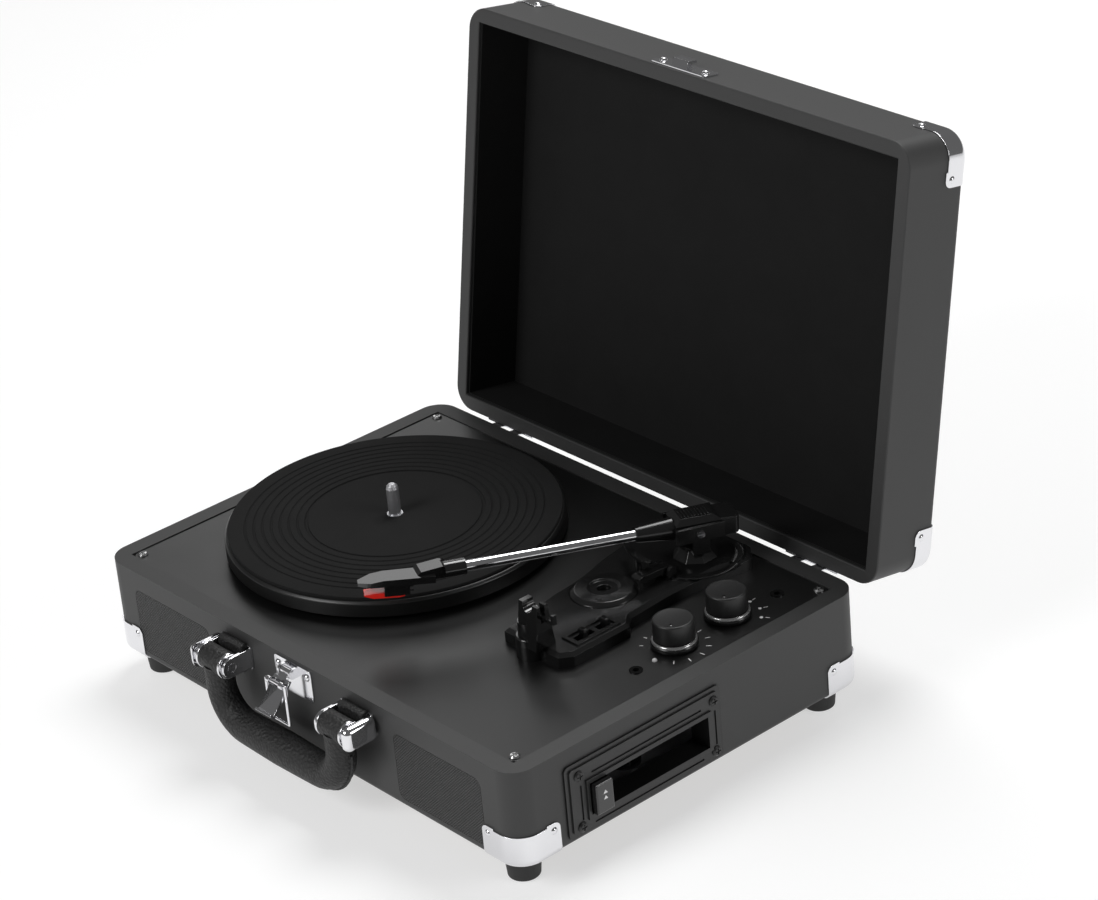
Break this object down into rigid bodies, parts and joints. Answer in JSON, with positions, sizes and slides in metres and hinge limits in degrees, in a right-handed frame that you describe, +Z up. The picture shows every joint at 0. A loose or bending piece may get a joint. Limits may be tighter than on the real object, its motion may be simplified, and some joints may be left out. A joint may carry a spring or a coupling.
{
  "type": "suitcase record player",
  "caption": "Portable belt-drive record player in a hinged suitcase with front speakers, tonearm, cassette slot, carrying handle and latch.",
  "frame": {"origin": "middle of the case's footprint on the surface that the feet stand on", "axes": "+X along the front edge to the right, +Y back towards the lid hinges, +Z up; the lid stands open at rest"},
  "size_m": [0.3653, 0.3737, 0.3198],
  "materials": {
    "leatherette": "fine pebble-grain black covering, satin",
    "lining": "black felt lining",
    "chrome": "polished",
    "rubber": "matt moulded rubber",
    "deck": "satin moulded black plastic",
    "gloss": "glossy moulded black plastic",
    "knob": "satin dark grey plastic with a brighter skirt edge",
    "board": "bare fibreboard",
    "mesh": "woven speaker cloth",
    "speaker": "black basket with a grey magnet",
    "mat": "felt mat",
    "steel": "bright drawn steel",
    "belt": "ground rubber belt",
    "stylus": "translucent red plastic",
    "circuit": "green circuit board with parts",
    "led": "small silvery dot",
    "brass": "sintered bearing bush"
  },
  "bodies": {
    "case": {"base_case": "leatherette", "base_bottom": "board", "base_corners": "chrome", "base_corner_nails": "chrome", "feet": "rubber", "case_screws": "chrome", "speaker_grilles": "mesh", "speaker_drivers": "speaker", "deck_plate": "deck", "platter_bush": "brass", "drive_belt": "belt", "platter_motor": "steel", "tonearm_plinth": "deck", "adaptor_45": "deck", "pivot_base": "deck", "arm_rest": "gloss", "panel_controls": "steel", "input_jacks": "gloss", "power_led": "led", "cassette_bezel": "deck", "cassette_chassis": "steel", "main_board": "circuit", "rear_panel": "deck", "rear_sockets": "steel", "handle_brackets": "chrome", "handle_pins": "steel", "latch_plate": "chrome", "hinge_base_leaves": "chrome", "hinge_pins": "steel"},
    "lid": {"lid_shell": "leatherette", "lid_lining": "lining", "lid_corners": "chrome", "lid_corner_nails": "chrome", "lid_catch": "chrome", "hinge_lid_leaves": "chrome"},
    "platter": {"platter": "deck", "slip_mat": "mat", "spindle": "steel"},
    "pulley": {"motor_pulley": "brass"},
    "arm_yoke": {"tonearm_yoke": "deck", "pivot_screws": "steel"},
    "tonearm": {"arm_housing": "deck", "arm_collar": "deck", "arm_tube": "chrome", "headshell": "gloss", "cartridge": "gloss", "stylus": "stylus"},
    "handle": {"handle_grip": "leatherette"},
    "latch_lever": {"latch_lever": "chrome"},
    "latch_bail": {"latch_bail": "chrome"},
    "volume_knob": {"volume_knob": "knob"},
    "function_knob": {"function_knob": "knob"},
    "speed_slider": {"speed_slider": "gloss"},
    "auto_stop_slider": {"auto_stop_slider": "gloss"},
    "cue_lever": {"cue_lever": "gloss"},
    "cue_lift": {"lift_bar": "deck"},
    "arm_clip": {"arm_clip": "gloss"},
    "eject_key": {"eject_key": "deck"},
    "supply_hub": {"supply_hub": "deck"},
    "take_up_hub": {"take_up_hub": "deck"}
  },
  "joints": [
    {"name": "lid_hinge", "type": "hinge", "parent": "case", "child": "lid", "pos_m": [0, 0.1287, 0.0654], "axis": [1, 0, 0], "range_deg": [0, 99.5]},
    {"name": "handle_pivot", "type": "hinge", "parent": "case", "child": "handle", "pos_m": [0, -0.1405, 0.06], "axis": [-1, 0, 0], "range_deg": [0, 150]},
    {"name": "latch_lever_pivot", "type": "hinge", "parent": "case", "child": "latch_lever", "pos_m": [-0.002, -0.1305, 0.0685], "axis": [1, 0, 0], "range_deg": [0, 38.5]},
    {"name": "latch_bail_pivot", "type": "hinge", "parent": "latch_lever", "child": "latch_bail", "pos_m": [-0.002, -0.13909, 0.06526], "axis": [1, 0, 0], "range_deg": [-235.84, 1]},
    {"name": "platter_spin", "type": "hinge", "parent": "case", "child": "platter", "pos_m": [-0.066, 0, 0.074], "axis": [0, 0, 1], "continuous": true},
    {"name": "pulley_spin", "type": "hinge", "parent": "case", "child": "pulley", "pos_m": [-0.14048, -0.043, 0.074], "axis": [0, 0, 1], "continuous": true},
    {"name": "tonearm_swing", "type": "hinge", "parent": "case", "child": "arm_yoke", "pos_m": [0.0925, 0.085, 0.1004], "axis": [0, 0, 1], "range_deg": [-20, 26.4]},
    {"name": "tonearm_tilt", "type": "hinge", "parent": "arm_yoke", "child": "tonearm", "pos_m": [0.0925, 0.085, 0.1004], "axis": [0.9114, -0.4115, 0], "range_deg": [-20, 0]},
    {"name": "volume_turn", "type": "hinge", "parent": "case", "child": "volume_knob", "pos_m": [0.144, 0.0195, 0.074], "axis": [0, 0, 1], "range_deg": [-150, 150]},
    {"name": "function_turn", "type": "hinge", "parent": "case", "child": "function_knob", "pos_m": [0.144, 0.059, 0.074], "axis": [0, 0, 1], "range_deg": [-30, 30]},
    {"name": "speed_slide", "type": "slide", "parent": "case", "child": "speed_slider", "axis": [0, 1, 0], "range_m": [-0.004, 0.004]},
    {"name": "auto_stop_slide", "type": "slide", "parent": "case", "child": "auto_stop_slider", "axis": [0, 1, 0], "range_m": [-0.004, 0]},
    {"name": "cue_lever_tilt", "type": "hinge", "parent": "case", "child": "cue_lever", "pos_m": [0.097, 0.058, 0.086], "axis": [-1, 0, 0], "range_deg": [0, 20]},
    {"name": "cue_lift_slide", "type": "slide", "parent": "case", "child": "cue_lift", "axis": [0, 0, 1], "range_m": [0, 0.004]},
    {"name": "arm_clip_swing", "type": "hinge", "parent": "case", "child": "arm_clip", "pos_m": [0.1025, -0.037, 0.10044], "axis": [0, -1, 0], "range_deg": [0, 90]},
    {"name": "eject_push", "type": "slide", "parent": "case", "child": "eject_key", "axis": [-1, 0, 0], "range_m": [0, 0.004], "stiffness_N_per_m": 250},
    {"name": "supply_hub_spin", "type": "hinge", "parent": "case", "child": "supply_hub", "pos_m": [0.10575, -0.026, 0.03], "axis": [0, 0, 1], "continuous": true},
    {"name": "take_up_hub_spin", "type": "hinge", "parent": "case", "child": "take_up_hub", "pos_m": [0.14825, -0.026, 0.03], "axis": [0, 0, 1], "continuous": true}
  ],
  "couplings": [
    {"joint": "pulley_spin", "follows": "platter_spin", "ratio": 16.054},
    {"joint": "latch_bail_pivot", "follows": "latch_lever_pivot", "ratio": -6.0997},
    {"joint": "cue_lift_slide", "follows": "cue_lever_tilt", "m_per_rad": 0.011459}
  ]
}
